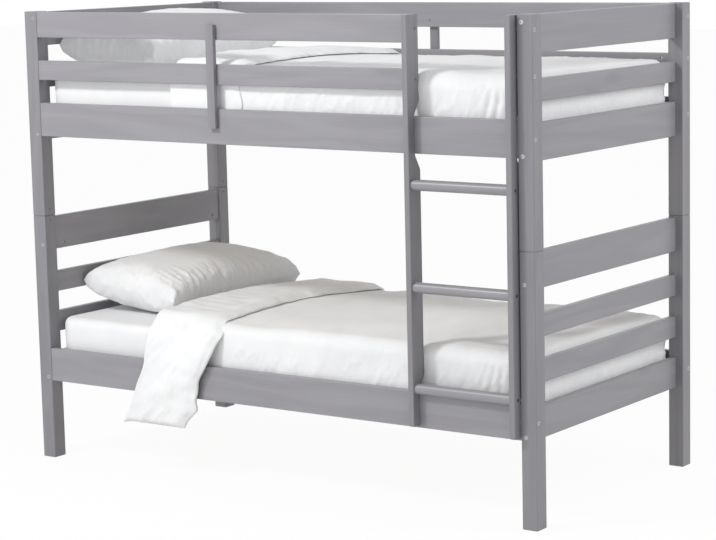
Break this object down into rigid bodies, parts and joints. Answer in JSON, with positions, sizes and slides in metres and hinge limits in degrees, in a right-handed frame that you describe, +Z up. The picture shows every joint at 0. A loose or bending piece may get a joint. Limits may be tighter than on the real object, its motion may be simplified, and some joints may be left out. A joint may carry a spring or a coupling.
{
  "type": "bunk bed",
  "caption": "Two-berth bunk bed of painted pine with guard boards, a fixed front ladder, slatted bases, mattresses, pillows and duvets; the upper bed lifts off its steel joining pins.",
  "frame": {"origin": "middle of the overall box on the floor, under the middle of the bed", "axes": "+X along the bed from the pillow end to the ladder end, +Y from the ladder side to the back, +Z up"},
  "size_m": [2.02, 1.044, 1.55],
  "materials": {
    "grey_paint": "satin grey paint over pine, the grain just showing",
    "bare_pine": "planed, unpainted pine",
    "dowel_wood": "plain hardwood dowel",
    "zinc_steel": "bright zinc plate",
    "white_cotton": "plain white woven cotton",
    "mattress_cover": "white fitted sheet over a firm mattress"
  },
  "bodies": {
    "lower_bed": {"joining_pins": "zinc_steel", "lower_barrel_nuts": "zinc_steel", "lower_dowels": "dowel_wood", "lower_frame_bolts": "zinc_steel", "lower_left_end_bar_1": "grey_paint", "lower_left_end_bar_2": "grey_paint", "lower_left_end_foot_board": "grey_paint", "lower_left_end_head_board": "grey_paint", "lower_post_back_left": "grey_paint", "lower_post_back_right": "grey_paint", "lower_post_front_left": "grey_paint", "lower_post_front_right": "grey_paint", "lower_right_end_bar_1": "grey_paint", "lower_right_end_bar_2": "grey_paint", "lower_right_end_foot_board": "grey_paint", "lower_right_end_head_board": "grey_paint", "lower_side_rail_back": "grey_paint", "lower_side_rail_front": "grey_paint", "lower_slat_and_ledge_screws": "zinc_steel", "lower_slat_ledges": "bare_pine", "lower_slats": "bare_pine", "pin_grub_screws": "zinc_steel"},
    "upper_bed": {"back_guard_lower_board": "grey_paint", "back_guard_strut": "grey_paint", "back_guard_top_board": "grey_paint", "front_guard_lower_board": "grey_paint", "front_guard_strut": "grey_paint", "front_guard_top_board": "grey_paint", "guard_and_ladder_screws": "zinc_steel", "ladder_left_stile": "grey_paint", "ladder_lower_rung": "grey_paint", "ladder_middle_rung": "grey_paint", "ladder_right_stile": "grey_paint", "ladder_spacers": "zinc_steel", "ladder_upper_rung": "grey_paint", "lock_grub_screws": "zinc_steel", "upper_barrel_nuts": "zinc_steel", "upper_dowels": "dowel_wood", "upper_frame_bolts": "zinc_steel", "upper_left_end_bar": "grey_paint", "upper_left_end_foot_board": "grey_paint", "upper_left_end_head_board": "grey_paint", "upper_post_back_left": "grey_paint", "upper_post_back_right": "grey_paint", "upper_post_front_left": "grey_paint", "upper_post_front_right": "grey_paint", "upper_right_end_bar": "grey_paint", "upper_right_end_foot_board": "grey_paint", "upper_right_end_head_board": "grey_paint", "upper_side_rail_back": "grey_paint", "upper_side_rail_front": "grey_paint", "upper_slat_and_ledge_screws": "zinc_steel", "upper_slat_ledges": "bare_pine", "upper_slats": "bare_pine"},
    "lower_bedding": {"lower_duvet": "white_cotton", "lower_mattress": "mattress_cover", "lower_pillow": "white_cotton"},
    "upper_bedding": {"upper_duvet": "white_cotton", "upper_mattress": "mattress_cover", "upper_pillow": "white_cotton"}
  },
  "joints": [
    {"name": "upper_bed_lift", "type": "slide", "parent": "lower_bed", "child": "upper_bed", "axis": [0, 0, 1], "range_m": [0, 0.16]},
    {"name": "lower_bedding_lift", "type": "slide", "parent": "lower_bed", "child": "lower_bedding", "axis": [0, 0, 1], "range_m": [0, 0.08]},
    {"name": "upper_bedding_lift", "type": "slide", "parent": "upper_bed", "child": "upper_bedding", "axis": [0, 0, 1], "range_m": [0, 0.37]}
  ]
}
